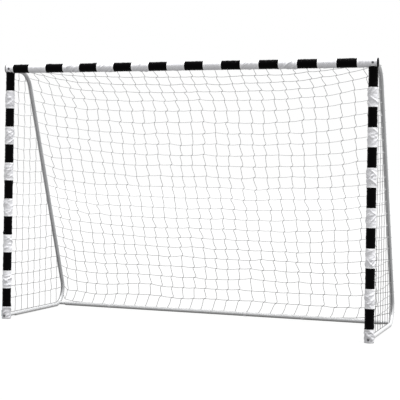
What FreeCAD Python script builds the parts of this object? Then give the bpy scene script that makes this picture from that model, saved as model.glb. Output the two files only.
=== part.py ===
import FreeCAD
import Part
import math
import os
import Sketcher

# A free-standing garden soccer goal: a front frame of round tubes in banded fabric sleeves, a bent
# tube frame at each side, a ground bar at the back and one square-mesh net.
# Millimetres, +Z up. The mouth faces -Y. The origin is on the ground at the middle of the outline.
# Each sub-part is its own solid, and its sizes are bound to the cells of the sheet named Dimensions.

V = FreeCAD.Vector
doc = FreeCAD.newDocument("SoccerGoal")

# ---------------------------------------------------------------- driving dimensions
DIMENSIONS = [
    ("span", 3000.0, "overall width, over the end caps"),
    ("tall", 2050.0, "overall height, over the crossbar sleeve"),
    ("front_axis", -517.05, "Y of the crossbar's and posts' axis"),
    ("rear_reach", 1051.0, "from the front axis to the rearmost point of the side tubes' axis"),
    ("front_rad", 30.0, "outer radius of the crossbar and post tubes"),
    ("front_wall", 1.2, "wall of the front tubes"),
    ("side_rad", 17.5, "outer radius of the side and rear tubes"),
    ("side_wall", 1.0, "wall of the side and rear tubes"),
    ("fit_gap", 0.2, "radial gap where one tube plugs into another"),
    ("shoulder", 4.0, "length of the cone where a tube narrows to its swaged end"),
    ("front_plug", 80.0, "length of a front tube's swaged end"),
    ("side_plug", 60.0, "length of a side tube's swaged end"),
    ("cross_split", 500.0, "distance of the crossbar's joints from its middle"),
    ("post_split", 1000.0, "height of the joint in each post"),
    ("flange", 6.0, "thickness of a plastic cap's flange"),
    ("cap_depth", 14.0, "how far a cap reaches into its tube"),
    ("cap_wall", 2.5, "wall of the part of a cap inside the tube"),
    ("spigot_long", 120.0, "how far a corner spigot reaches down from the crossbar's axis"),
    ("sleeve_thick", 4.6, "how far a loose fabric sleeve stands out from its tube"),
    ("sleeve_gap", 0.1, "gap between a tube and its sleeve"),
    ("seam_gap", 0.2, "gap where two sleeves or a sleeve and a tube's end meet"),
    ("sleeve_top", 9.0, "from the crossbar's axis down to the highest point of a post's sleeve"),
    ("top_bend_rad", 200.0, "radius of the top bend, on the tube's axis"),
    ("low_bend_rad", 140.0, "radius of the bottom bend, on the tube's axis"),
    ("top_run", 166.0, "from the front axis to the start of the top bend"),
    ("slope_top", 150.0, "length of the top bend tube's straight on the slope"),
    ("slope_low", 620.0, "length of the bottom bend tube's straight on the slope"),
    ("ground_run", 330.0, "length of the bottom bend tube's straight on the ground"),
    ("nose_long", 110.0, "length of the reduced front end of a ground tube"),
    ("nose_rad", 13.0, "outer radius of a reduced tube end"),
    ("nose_cone", 12.0, "length of the cone that leads to a reduced end"),
    ("fit_lead", 8.0, "how far inside a sleeve a side tube starts, before it is cut back to fit"),
    ("stub_turn", 22.7, "degrees round the bottom bend, from its lowest point to the rear bar"),
    ("stub_inner", 1405.0, "distance of a rear stub's inner end from the middle"),
    ("stub_gap", 0.3, "radial gap between a rear stub and the bar's reduced end"),
    ("rear_half", 1390.0, "distance from the middle to where the rear bar narrows"),
    ("rear_split", 480.0, "distance of the rear bar's joints from its middle"),
    ("bolt_rad", 4.0, "radius of a bolt's shank"),
    ("bolt_hole", 4.3, "radius of the bolt holes in tubes and sleeves"),
    ("head_rad", 7.5, "radius of a bolt's head"),
    ("head_tall", 4.4, "height of a bolt's head"),
    ("socket_rad", 2.9, "corner radius of the hexagon socket in a bolt's head"),
    ("socket_deep", 2.6, "depth of that socket"),
    ("washer_rad", 9.0, "outer radius of a washer"),
    ("washer_thick", 1.6, "thickness of a washer"),
    ("bolt_reach", 26.0, "how far a bolt reaches into its threaded plug"),
    ("plug_long", 30.0, "length of a threaded plug"),
    ("plug_bore", 4.1, "radius of a threaded plug's bore"),
    ("foot_bolt", 25.0, "height of the foot bolts"),
    ("net_thick", 4.0, "thickness that the net's cords take up"),
    ("net_clear", 1.0, "gap between the side tubes and the net"),
    ("net_lift", 2.5, "gap between the side tubes and the corners of the back net's facets"),
    ("net_edge", 2.0, "gap between the net's front edges and the front frame's sleeves"),
    ("net_foot", 52.0, "height of the back net's lower edge"),
    ("net_fore", 985.0, "from the front axis to the back net's lower edge at the middle"),
    ("strap_thick", 2.0, "thickness of a net strap round the rear bar"),
    ("strap_wide", 26.0, "width of a net strap"),
    ("strap_left", 968.0, "distance of the left net strap from the middle"),
    ("strap_mid", 259.0, "distance of the middle net strap from the middle"),
    ("strap_right", 749.0, "distance of the right net strap from the middle"),
    ("tool_long", 200.0, "length of the round cutters"),
]

sheet = doc.addObject("Spreadsheet::Sheet", "Dimensions")
for row, (alias, number, note) in enumerate(DIMENSIONS, start=1):
    sheet.set("A%d" % row, alias)
    sheet.set("B%d" % row, str(number))
    sheet.set("C%d" % row, note)
    sheet.setAlias("B%d" % row, alias)
doc.recompute()
size = {alias: float(sheet.get(alias)) for alias, _, _ in DIMENSIONS}

# radii and places that follow from the cells
SLEEVE_RAD = "(front_rad + sleeve_gap + sleeve_thick)"
SLEEVE_BORE = "(front_rad + sleeve_gap)"
SLEEVE_CUT = "(front_rad + sleeve_gap + sleeve_thick + seam_gap)"
CROSS_Z = "(tall - %s)" % SLEEVE_RAD
POST_X = "(span / 2 - %s)" % SLEEVE_RAD
FRONT_BORE = "(front_rad - front_wall)"
FRONT_MALE = "(front_rad - front_wall - fit_gap)"
SIDE_BORE = "(side_rad - side_wall)"
SIDE_MALE = "(side_rad - side_wall - fit_gap)"
NOSE_BORE = "(nose_rad - side_wall)"
FRONT_BACK = "(front_axis + %s)" % SLEEVE_RAD
BAR_Y = "(front_axis + rear_reach - low_bend_rad + low_bend_rad * sin(stub_turn * 1 deg))"
BAR_Z = "(side_rad + low_bend_rad - low_bend_rad * cos(stub_turn * 1 deg))"
POST_TOP = "(%s - %s - seam_gap)" % (CROSS_Z, SLEEVE_RAD)

X_AXIS, Y_AXIS, Z_AXIS = V(1, 0, 0), V(0, 1, 0), V(0, 0, 1)
nodes = []


def on_sheet(text):
    """The expression with each alias written as a cell of the sheet."""
    words, word = [], ""
    for letter in str(text) + " ":
        if letter.isalnum() or letter in "_.":
            word += letter
        else:
            words += ["Dimensions." + word if word in size else word, letter]
            word = ""
    return "".join(words).strip()


gauge = doc.addObject("Part::Vertex", "Gauge")


def value(text):
    """The number that an expression on the cells comes to, read off the gauge's X."""
    gauge.setExpression("X", on_sheet(text))
    gauge.recompute()
    return float(gauge.X)


def bind(thing, prop, text):
    thing.setExpression(prop, on_sheet(text))


def node(thing, name):
    """Records an object as a finished sub-part."""
    thing.Label = name
    nodes.append(thing)
    return thing


def place(thing, x, y, z, axis=Z_AXIS, turn=0.0):
    """Turns an object about an axis through its own origin and binds its position."""
    thing.Placement = FreeCAD.Placement(V(0, 0, 0), FreeCAD.Rotation(axis, turn))
    for key, text in (("x", x), ("y", y), ("z", z)):
        bind(thing, "Placement.Base." + key, text)
    return thing


# ---------------------------------------------------------------- sketches and bodies
def new_sketch(body, role):
    """A sketch on one of a body's own origin planes."""
    sketch = body.newObject("Sketcher::SketchObject", "Sketch")
    plane = next(f for f in body.Origin.OriginFeatures if f.Role == role)
    sketch.AttachmentSupport = [(plane, "")]
    sketch.MapMode = "FlatFace"
    return sketch


def bound_polygon(sketch, points):
    """A closed polygon, each corner bound to its two expressions."""
    spots = [V(value(a), value(b), 0) for a, b in points]
    count = len(spots)
    for i in range(count):
        sketch.addGeometry(Part.LineSegment(spots[i], spots[(i + 1) % count]), False)
    for i in range(count):
        sketch.addConstraint(Sketcher.Constraint("Coincident", i, 2, (i + 1) % count, 1))
    for i, (across, along) in enumerate(points):
        sides = (("DistanceX", across, spots[i].x, -2), ("DistanceY", along, spots[i].y, -1))
        for kind, text, number, axis_line in sides:
            if abs(number) < 1e-9:
                sketch.addConstraint(Sketcher.Constraint("PointOnObject", i, 1, axis_line))
            else:
                rule = Sketcher.Constraint(kind, -1, 1, i, 1, number)
                k = sketch.addConstraint(rule)
                sketch.setExpression("Constraints[%d]" % k, on_sheet(text))


def bound_circle(sketch, rad, along="0"):
    """A circle with a bound radius, its centre on the sketch's vertical axis."""
    k = sketch.addGeometry(Part.Circle(V(0, value(along), 0), Z_AXIS, value(rad)), False)
    c = sketch.addConstraint(Sketcher.Constraint("Radius", k, value(rad)))
    sketch.setExpression("Constraints[%d]" % c, on_sheet(rad))
    sketch.addConstraint(Sketcher.Constraint("PointOnObject", k, 3, -2))
    if abs(value(along)) > 1e-9:
        c = sketch.addConstraint(Sketcher.Constraint("DistanceY", -1, 1, k, 3, value(along)))
        sketch.setExpression("Constraints[%d]" % c, on_sheet(along))
    else:
        sketch.addConstraint(Sketcher.Constraint("PointOnObject", k, 3, -1))


def turned(points):
    """A body turned about its own Z from a half profile of (radius, height) corners."""
    body = doc.addObject("PartDesign::Body", "Body")
    sketch = new_sketch(body, "XZ_Plane")
    bound_polygon(sketch, points)
    spin = body.newObject("PartDesign::Revolution", "Revolution")
    spin.Profile = sketch
    spin.ReferenceAxis = (sketch, ["V_Axis"])
    spin.Angle = 360.0
    sketch.Visibility = False
    return body


def cross_hole(body, along, rad="bolt_hole"):
    """Drills a bolt hole through a turned body, along its own Y, at a height along its axis."""
    doc.recompute()
    before = body.Shape.Volume
    sketch = new_sketch(body, "XZ_Plane")
    bound_circle(sketch, rad, along=along)
    hole = body.newObject("PartDesign::Pocket", "Pocket")
    hole.Profile = sketch
    hole.Type = "ThroughAll"
    hole.Midplane = True
    doc.recompute()
    if not body.Shape.Volume < before - 1.0:
        raise SystemExit("a bolt hole cut nothing")
    return body


def ring(inner, outer, long):
    return turned([(inner, "0"), (outer, "0"), (outer, long), (inner, long)])


def swaged_tube(rad, wall, long, male, plug, both=False):
    """A tube from height 0 to long, narrowed to a swaged end that reaches plug beyond it."""
    bore, tip = "(%s - %s)" % (rad, wall), "(%s - %s)" % (male, wall)
    top = "(%s + %s)" % (long, plug)
    points = [(rad, "%s - shoulder" % long), (male, long), (male, top), (tip, top), (tip, long)]
    points.append((bore, "%s - shoulder" % long))
    if both:
        low = "(0 - %s)" % plug
        points += [(bore, "shoulder"), (tip, "0"), (tip, low), (male, low), (male, "0"), (rad, "shoulder")]
    else:
        points += [(bore, "0"), (rad, "0")]
    return turned(points)


def bent_tube(first, last, bend, start, end, turn_up):
    """A tube along its own +Y for first, round a bend and on for last, in its own YZ plane."""
    body = doc.addObject("PartDesign::Body", "Body")
    section = new_sketch(body, "XZ_Plane")
    bound_circle(section, "side_rad")
    bound_circle(section, SIDE_BORE)
    middle = V(value(first), value(bend) if turn_up else -value(bend), 0)
    leave, arrive = (end, start) if turn_up else (start, end)
    arc = Part.ArcOfCircle(Part.Circle(middle, Z_AXIS, value(bend)), start, end)
    tip = middle + V(math.cos(leave), math.sin(leave), 0) * value(bend)
    way = V(-math.sin(leave), math.cos(leave), 0) * (1 if turn_up else -1)
    path = new_sketch(body, "YZ_Plane")
    path.addGeometry(Part.LineSegment(V(0, 0, 0), V(value(first), 0, 0)), False)
    path.addGeometry(arc, False)
    path.addGeometry(Part.LineSegment(tip, tip + way * value(last)), False)
    ends = (1, 2) if turn_up else (2, 1)
    path.addConstraint(Sketcher.Constraint("Tangent", 0, 2, 1, ends[0]))
    path.addConstraint(Sketcher.Constraint("Tangent", 1, ends[1], 2, 1))
    path.addConstraint(Sketcher.Constraint("Coincident", 0, 1, -1, 1))
    path.addConstraint(Sketcher.Constraint("Horizontal", 0))
    for line, text in ((0, first), (2, last)):
        k = path.addConstraint(Sketcher.Constraint("Distance", line, value(text)))
        path.setExpression("Constraints[%d]" % k, on_sheet(text))
    k = path.addConstraint(Sketcher.Constraint("Radius", 1, value(bend)))
    path.setExpression("Constraints[%d]" % k, on_sheet(bend))
    path.addConstraint(Sketcher.Constraint("Angle", 1, abs(end - start)))
    pipe = body.newObject("PartDesign::AdditivePipe", "Pipe")
    pipe.Profile = section
    pipe.Spine = (path, ["Edge1", "Edge2", "Edge3"])
    doc.recompute()
    swept = value(first) + value(last) + value(bend) * abs(arrive - leave)
    expected = math.pi * (size["side_rad"] ** 2 - value(SIDE_BORE) ** 2) * swept
    if abs(body.Shape.Volume - expected) > 0.01 * expected:
        raise SystemExit("a bent tube has the wrong volume")
    return body


def bar(rad, x, y, z, axis=Z_AXIS, turn=0.0):
    """A solid round bar, used as a cutter."""
    tool = doc.addObject("Part::Cylinder", "Cylinder")
    bind(tool, "Radius", rad)
    bind(tool, "Height", "tool_long")
    return place(tool, x, y, z, axis, turn)


def cut(base, *tools):
    """base with each tool taken out of it."""
    for tool in tools:
        result = doc.addObject("Part::Cut", "Cut")
        result.Base, result.Tool = base, tool
        doc.recompute()
        if not result.Shape.Volume < base.Shape.Volume - 0.5:
            raise SystemExit("a cut took nothing away")
        base = result
    return base


def group(name, things):
    """Identical fasteners as one sub-part of separate solids."""
    bundle = doc.addObject("Part::Compound", "Compound")
    bundle.Links = things
    return node(bundle, name)


def signed(side, text):
    return "%d * %s" % (side, text)


SIDES = (("left", -1), ("right", 1))
ALONG_X = dict(axis=Y_AXIS, turn=90.0)  # turns an object's own Z to +X
ALONG_MINUS_X = dict(axis=Y_AXIS, turn=-90.0)
ALONG_Y = dict(axis=X_AXIS, turn=-90.0)  # turns an object's own Z to +Y


def outward(side):
    return ALONG_X if side > 0 else ALONG_MINUS_X


def crosswise(rad, x):
    """A cutter on the crossbar's axis, centred at x."""
    return bar(rad, x + " - tool_long / 2", "front_axis", CROSS_Z, **ALONG_X)


# ---------------------------------------------------------------- front frame
def crossbar():
    outer_long = "(span / 2 - flange - cross_split)"
    for name, side in SIDES:
        tube = ring(FRONT_BORE, "front_rad", outer_long)
        cross_hole(tube, "%s - cross_split" % POST_X)
        place(tube, signed(side, "cross_split"), "front_axis", CROSS_Z, **outward(side))
        node(tube, "crossbar_" + name)
        cap = turned(cap_profile())
        place(cap, signed(side, "(span / 2)"), "front_axis", CROSS_Z, **outward(-side))
        node(cap, "end_cap_" + name)
    middle = swaged_tube(
        "front_rad", "front_wall", "(2 * cross_split)", FRONT_MALE, "front_plug", both=True
    )
    place(middle, "0 - cross_split", "front_axis", CROSS_Z, **ALONG_X)
    node(middle, "crossbar_middle")


def cap_profile():
    """A plastic cap: a flange over the tube's end and a short cup inside the tube."""
    deep = "(flange + cap_depth)"
    inner = "(%s - cap_wall)" % FRONT_MALE
    return [
        ("0", "0"),
        (SLEEVE_RAD, "0"),
        (SLEEVE_RAD, "flange"),
        (FRONT_MALE, "flange"),
        (FRONT_MALE, deep),
        (inner, deep),
        (inner, "flange"),
        ("0", "flange"),
    ]


def posts():
    for name, side in SIDES:
        x = signed(side, POST_X)
        low = swaged_tube(
            "front_rad", "front_wall", "(post_split - flange)", FRONT_MALE, "front_plug"
        )
        cross_hole(low, "(foot_bolt - flange)")
        node(place(low, x, "front_axis", "flange"), "post_lower_" + name)
        high = ring(FRONT_BORE, "front_rad", "(%s - post_split)" % POST_TOP)
        node(place(high, x, "front_axis", "post_split"), "post_upper_" + name)
        cap = place(turned(cap_profile()), x, "front_axis", "0")
        node(cap, "foot_cap_" + name)
        stub = ring("(%s - front_wall)" % FRONT_MALE, FRONT_MALE, "spigot_long")
        place(stub, x, "front_axis", "%s - spigot_long" % CROSS_Z)
        saddle = crosswise("(front_rad + 0.05)", x)
        tube = bar("(side_rad + seam_gap)", x, "front_axis", CROSS_Z, **ALONG_Y)
        node(cut(stub, saddle, tube), "corner_spigot_" + name)


def sleeves():
    long = "(span - 2 * flange - 2 * seam_gap)"
    cloth = ring(SLEEVE_BORE, SLEEVE_RAD, long)
    place(cloth, "0 - %s / 2" % long, "front_axis", CROSS_Z, **ALONG_X)
    tools = []
    for _, side in SIDES:
        x = signed(side, POST_X)
        stub_rad = "(%s + seam_gap)" % FRONT_MALE
        tools.append(bar(stub_rad, x, "front_axis", "%s - tool_long" % CROSS_Z))
        tools.append(bar("bolt_hole", x, "front_axis - tool_long / 2", CROSS_Z, **ALONG_Y))
    node(cut(cloth, *tools), "crossbar_sleeve")
    for name, side in SIDES:
        x = signed(side, POST_X)
        cloth = ring(SLEEVE_BORE, SLEEVE_RAD, "(%s - flange - sleeve_top)" % CROSS_Z)
        cross_hole(cloth, "(foot_bolt - flange - seam_gap)")
        place(cloth, x, "front_axis", "(flange + seam_gap)")
        saddle = crosswise(SLEEVE_CUT, x)
        tube = bar("(side_rad + seam_gap)", x, "front_axis", CROSS_Z, **ALONG_Y)
        node(cut(cloth, saddle, tube), "post_sleeve_" + name)


# ---------------------------------------------------------------- side frames
def side_outline():
    """The side frame's tangent points: two bends joined by a common tangent, and the foot."""
    top = V(0, size["front_axis"] + size["top_run"], value(CROSS_Z) - size["top_bend_rad"])
    low_y = size["front_axis"] + size["rear_reach"] - size["low_bend_rad"]
    low = V(0, low_y, size["side_rad"] + size["low_bend_rad"])
    way = low - top
    apart = way.Length
    lean_in = math.acos((size["top_bend_rad"] - size["low_bend_rad"]) / apart)
    lean = math.atan2(way.z, way.y) + lean_in  # direction of the slope's outer normal
    foot = V(0, value(FRONT_BACK), size["foot_bolt"])
    reach = low - foot
    dip = math.atan2(reach.z, reach.y) - math.asin(size["low_bend_rad"] / reach.Length)
    run = math.sqrt(reach.Length**2 - size["low_bend_rad"] ** 2)
    slope = apart * math.sin(lean_in)
    return dict(top=top, low=low, lean=lean, dip=dip, run=run, slope=slope, foot=foot)


def at_angle(centre, rad, angle):
    return centre + V(0, math.cos(angle), math.sin(angle)) * rad


def side_frames(line):
    lean, dip = line["lean"], line["dip"]
    down_slope = V(0, math.sin(lean), -math.cos(lean))
    joint = at_angle(line["top"], size["top_bend_rad"], lean) + down_slope * size["slope_top"]
    slope_long = "(%.9f - slope_top - slope_low)" % line["slope"]
    back = V(0, math.cos(dip), math.sin(dip))
    ground_joint = line["foot"] + back * (line["run"] - size["ground_run"])
    ground_long = "(%.9f - ground_run)" % line["run"]
    for name, side in SIDES:
        x = signed(side, POST_X)
        fore = "(%s - fit_lead)" % SLEEVE_RAD
        bend = bent_tube(
            "(top_run - %s)" % fore, "slope_top", "top_bend_rad", lean, math.pi / 2, False
        )
        place(bend, x, "front_axis + %s" % fore, CROSS_Z)
        node(cut(bend, crosswise(SLEEVE_CUT, x)), "side_top_bend_" + name)

        slope = swaged_tube(
            "side_rad", "side_wall", slope_long, SIDE_MALE, "side_plug", both=True
        )
        turn = 180.0 + math.degrees(lean)
        place(slope, x, "%.9f" % joint.y, "%.9f" % joint.z, axis=X_AXIS, turn=turn)
        node(slope, "side_slope_tube_" + name)

        start, end = -math.pi / 2, lean - dip
        bend = bent_tube("ground_run", "slope_low", "low_bend_rad", start, end, True)
        tilt = math.degrees(dip)
        place(bend, x, "%.9f" % ground_joint.y, "%.9f" % ground_joint.z, axis=X_AXIS, turn=tilt)
        node(bend, "side_bottom_bend_" + name)

        ground = turned(ground_tube_profile(ground_long))
        spot = line["foot"] - back * size["fit_lead"]
        place(ground, x, "%.9f" % spot.y, "%.9f" % spot.z, axis=X_AXIS, turn=tilt - 90.0)
        post = bar(SLEEVE_CUT, x, "front_axis", "0")
        node(cut(ground, post), "side_ground_tube_" + name)


def ground_tube_profile(long):
    """The ground tube: reduced where it meets the post, swaged where it enters the bend."""
    end = "(%s + fit_lead)" % long
    tip = "(%s + side_plug)" % end
    inner = "(%s - side_wall)" % SIDE_MALE
    wide = "(nose_long + nose_cone)"
    return [
        (NOSE_BORE, "0"),
        ("nose_rad", "0"),
        ("nose_rad", "nose_long"),
        ("side_rad", wide),
        ("side_rad", "%s - shoulder" % end),
        (SIDE_MALE, end),
        (SIDE_MALE, tip),
        (inner, tip),
        (inner, end),
        (SIDE_BORE, "%s - shoulder" % end),
        (SIDE_BORE, wide),
        (NOSE_BORE, "nose_long"),
    ]


# ---------------------------------------------------------------- rear ground bar
def rear_bar():
    middle = swaged_tube(
        "side_rad", "side_wall", "(2 * rear_split)", SIDE_MALE, "side_plug", both=True
    )
    place(middle, "0 - rear_split", BAR_Y, BAR_Z, **ALONG_X)
    node(middle, "rear_bar_middle")
    for name, side in SIDES:
        wide = "(rear_half - rear_split)"
        narrow = "(rear_half + nose_cone - rear_split)"
        end = "(%s - rear_split)" % POST_X
        tube = turned(
            [
                (SIDE_BORE, "0"),
                ("side_rad", "0"),
                ("side_rad", wide),
                ("nose_rad", narrow),
                ("nose_rad", end),
                (NOSE_BORE, end),
                (NOSE_BORE, narrow),
                (SIDE_BORE, wide),
            ]
        )
        place(tube, signed(side, "rear_split"), BAR_Y, BAR_Z, **outward(side))
        node(cut(tube, bend_ring(side, 0.05)), "rear_bar_" + name)
        pin_rad = "(%s - stub_gap)" % NOSE_BORE
        pin = ring("(%s - side_wall)" % pin_rad, pin_rad, "(%s - stub_inner)" % POST_X)
        place(pin, signed(side, "stub_inner"), BAR_Y, BAR_Z, **outward(side))
        node(cut(pin, bend_ring(side, 0.02)), "rear_stub_" + name)


def bend_ring(side, gap):
    """The outer shape of a bottom bend, used to fit tubes against it."""
    tool = doc.addObject("Part::Torus", "Torus")
    bind(tool, "Radius1", "low_bend_rad")
    bind(tool, "Radius2", "side_rad + %s" % gap)
    y = "front_axis + rear_reach - low_bend_rad"
    return place(tool, signed(side, POST_X), y, "side_rad + low_bend_rad", **ALONG_X)


# ---------------------------------------------------------------- fasteners
def button_bolt():
    """A button-head bolt, its head's top at height 0 and its shank along +Z."""
    under = "head_tall"
    long = "(head_tall + washer_thick + 2 * %s + net_edge + bolt_reach)" % SLEEVE_RAD
    body = turned(
        [
            ("0", "0"),
            ("(head_rad * 0.55)", "0"),
            ("(head_rad * 0.88)", "(head_tall * 0.4)"),
            ("head_rad", under),
            ("bolt_rad", under),
            ("bolt_rad", long),
            ("0", long),
        ]
    )
    doc.recompute()
    before = body.Shape.Volume
    sketch = new_sketch(body, "XY_Plane")
    corners = []
    for k in range(6):
        a = "cos(%d deg)" % (60 * k + 30), "sin(%d deg)" % (60 * k + 30)
        corners.append(("(socket_rad * %s)" % a[0], "(socket_rad * %s)" % a[1]))
    bound_polygon(sketch, corners)
    socket = body.newObject("PartDesign::Pocket", "Pocket")
    socket.Profile = sketch
    socket.Type = "Length"
    socket.Reversed = True
    bind(socket, "Length", "socket_deep")
    doc.recompute()
    if not body.Shape.Volume < before - 1.0:
        raise SystemExit("a bolt's socket cut nothing")
    return body


def fasteners():
    heights = {"corner": CROSS_Z, "foot": "foot_bolt"}
    head_y = "front_axis - %s - washer_thick - head_tall" % SLEEVE_RAD
    washer_y = "front_axis - %s - washer_thick" % SLEEVE_RAD
    washers = []
    for name, z in heights.items():
        bolts = []
        for _, side in SIDES:
            x = signed(side, POST_X)
            bolts.append(place(button_bolt(), x, head_y, z, **ALONG_Y))
            washer = ring("bolt_hole", "washer_rad", "washer_thick")
            washers.append(place(washer, x, washer_y, z, **ALONG_Y))
        group(name + "_bolts", bolts)
    group("bolt_washers", washers)
    bores = {"top_thread_plugs": (SIDE_BORE, CROSS_Z), "foot_thread_plugs": (NOSE_BORE, "foot_bolt")}
    for name, (bore, z) in bores.items():
        plugs = []
        for _, side in SIDES:
            plug = ring("plug_bore", "(%s - fit_gap - 0.2)" % bore, "plug_long")
            plugs.append(place(plug, signed(side, POST_X), FRONT_BACK + " + net_edge", z, **ALONG_Y))
        group(name, plugs)


# ---------------------------------------------------------------- net
def net_sides(line):
    """The two side panels, each flat against the outside of its side frame."""
    fore = value(FRONT_BACK) + size["net_edge"]
    lean, dip = line["lean"], line["dip"]
    top, low = line["top"], line["low"]
    top_rad, low_rad = size["top_bend_rad"], size["low_bend_rad"]
    bends = []
    for centre, rad, start, end in (
        (top, top_rad, lean, math.pi / 2),
        (low, low_rad, dip - math.pi / 2, lean),
    ):
        a, m, b = (at_angle(centre, rad, t) for t in (start, (start + end) / 2, end))
        bends.append((a, m, b))
    corner_high = V(0, fore, value(CROSS_Z))
    corner_low = V(0, fore, size["foot_bolt"])
    edges = [
        Part.makeLine(corner_low, corner_high),
        Part.makeLine(corner_high, bends[0][2]),
        Part.Arc(*bends[0]).toShape(),
        Part.makeLine(bends[0][0], bends[1][2]),
        Part.Arc(*bends[1]).toShape(),
        Part.makeLine(bends[1][0], corner_low),
    ]
    face = Part.Face(Part.Wire(Part.__sortEdges__(edges)))
    for name, side in SIDES:
        away = value(POST_X) + size["side_rad"] + size["net_clear"]
        panel = doc.addObject("Part::Feature", "Net")
        panel.Shape = face.extrude(V(side * size["net_thick"], 0, 0))
        panel.Placement = FreeCAD.Placement(V(side * away, 0, 0), FreeCAD.Rotation())
        node(panel, "net_side_" + name)


BEND_FACETS = 5  # flat facets of the back net round each bend
SLOPE_FACETS = 4
NET_STATIONS = ((1.0, 0.0), (0.973, 0.0), (0.9, 0.29), (0.8, 0.52), (0.6, 0.8), (0.3, 0.97), (0.0, 1.0))
NET_MIDDLE = ((350, 1760), (420, 1580), (585, 1130), (735, 790), (930, 360))  # Y and Z down the middle


def back_at_side(line, depth):
    """Points down the back net over a side tube, depth outside the tube's surface."""
    off = size["side_rad"] + depth
    top_rad, low_rad = size["top_bend_rad"] + off, size["low_bend_rad"] + off
    start = V(0, value(FRONT_BACK) + size["net_edge"], value(CROSS_Z) + off)
    points = [start]
    for k in range(BEND_FACETS + 1):
        angle = math.pi / 2 + (line["lean"] - math.pi / 2) * k / BEND_FACETS
        points.append(at_angle(line["top"], top_rad, angle))
    leave, entry = points[-1], at_angle(line["low"], low_rad, line["lean"])
    for k in range(1, SLOPE_FACETS):
        points.append(leave + (entry - leave) * (k / SLOPE_FACETS))
    last = math.asin((size["net_foot"] - line["low"].z) / low_rad)
    for k in range(BEND_FACETS + 1):
        angle = line["lean"] + (last - line["lean"]) * k / BEND_FACETS
        points.append(at_angle(line["low"], low_rad, angle))
    return points


def back_at_middle(line, depth):
    """Points down the back net at the goal's middle, where it hangs free in a soft curve."""
    front = V(0, size["front_axis"], 0)
    guide = [V(0, value(FRONT_BACK) + size["net_edge"], value(CROSS_Z) - 14)]
    guide += [front + V(0, y, z) for y, z in NET_MIDDLE]
    guide.append(front + V(0, size["net_fore"], size["net_foot"]))
    curve = Part.BSplineCurve()
    curve.interpolate(guide)
    edge = back_at_side(line, 0.0)
    passed = [0.0]
    for a, b in zip(edge, edge[1:]):
        passed.append(passed[-1] + (b - a).Length)
    points = []
    for so_far in passed:
        reach = curve.length() * min(so_far / passed[-1], 0.9999)
        t = curve.parameterAtDistance(reach, curve.FirstParameter)
        way = curve.tangent(t)[0]
        points.append(curve.value(t) + V(0, -way.z, way.y) * depth)
    return points


def net_back(line):
    """The roof and back of the net in one sheet, drawn in towards the middle."""
    half = value(POST_X) + size["side_rad"] + size["net_clear"] - 0.5
    stations = [(-across, slack) for across, slack in NET_STATIONS] + list(NET_STATIONS[-2::-1])
    wires = []
    for across, slack in stations:
        ring_points = []
        for depth, way in ((0.0, 1), (size["net_thick"], -1)):
            edge = back_at_side(line, size["net_lift"] + depth)
            middle = back_at_middle(line, depth)
            blend = [e * (1 - slack) + m * slack for e, m in zip(edge, middle)]
            ring_points += [V(across * half, p.y, p.z) for p in blend][::way]
        wires.append(Part.makePolygon(ring_points + ring_points[:1]))
    panel = doc.addObject("Part::Feature", "Net")
    panel.Shape = Part.makeLoft(wires, True, True)
    panel.Placement = FreeCAD.Placement()
    node(panel, "net_back")


def net_straps():
    straps = []
    for x in ("0 - strap_left", "strap_mid", "strap_right"):
        strap = ring("(side_rad + sleeve_gap)", "(side_rad + strap_thick)", "strap_wide")
        straps.append(place(strap, x + " - strap_wide / 2", BAR_Y, BAR_Z, **ALONG_X))
    group("rear_net_straps", straps)


# ---------------------------------------------------------------- build, check and write
outline = side_outline()
crossbar()
posts()
side_frames(outline)
rear_bar()
fasteners()
sleeves()
net_sides(outline)
net_back(outline)
net_straps()
doc.recompute()

for thing in doc.Objects:
    if "Invalid" in thing.State or "Error" in thing.State:
        raise SystemExit("%s (%s) failed: %s" % (thing.Name, thing.Label, thing.State))
for thing in nodes:
    if thing.Shape.isNull() or not thing.Shape.isValid() or not thing.Shape.Solids:
        raise SystemExit("%s has no valid solid" % thing.Label)

doc.removeObject(gauge.Name)
os.makedirs("parts", exist_ok=True)
whole = FreeCAD.BoundBox()
for thing in nodes:
    thing.Shape.exportStep("parts/%s.step" % thing.Label)
    whole.add(thing.Shape.BoundBox)
    print("%-24s %2d solid(s) %12.1f mm3" % (thing.Label, len(thing.Shape.Solids), thing.Shape.Volume))
print("outline x %.2f..%.2f y %.2f..%.2f z %.2f..%.2f" % (
    whole.XMin, whole.XMax, whole.YMin, whole.YMax, whole.ZMin, whole.ZMax))
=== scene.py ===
import math
import random

import bmesh
import bpy
import numpy as np
from mathutils import Matrix, Vector


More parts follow.
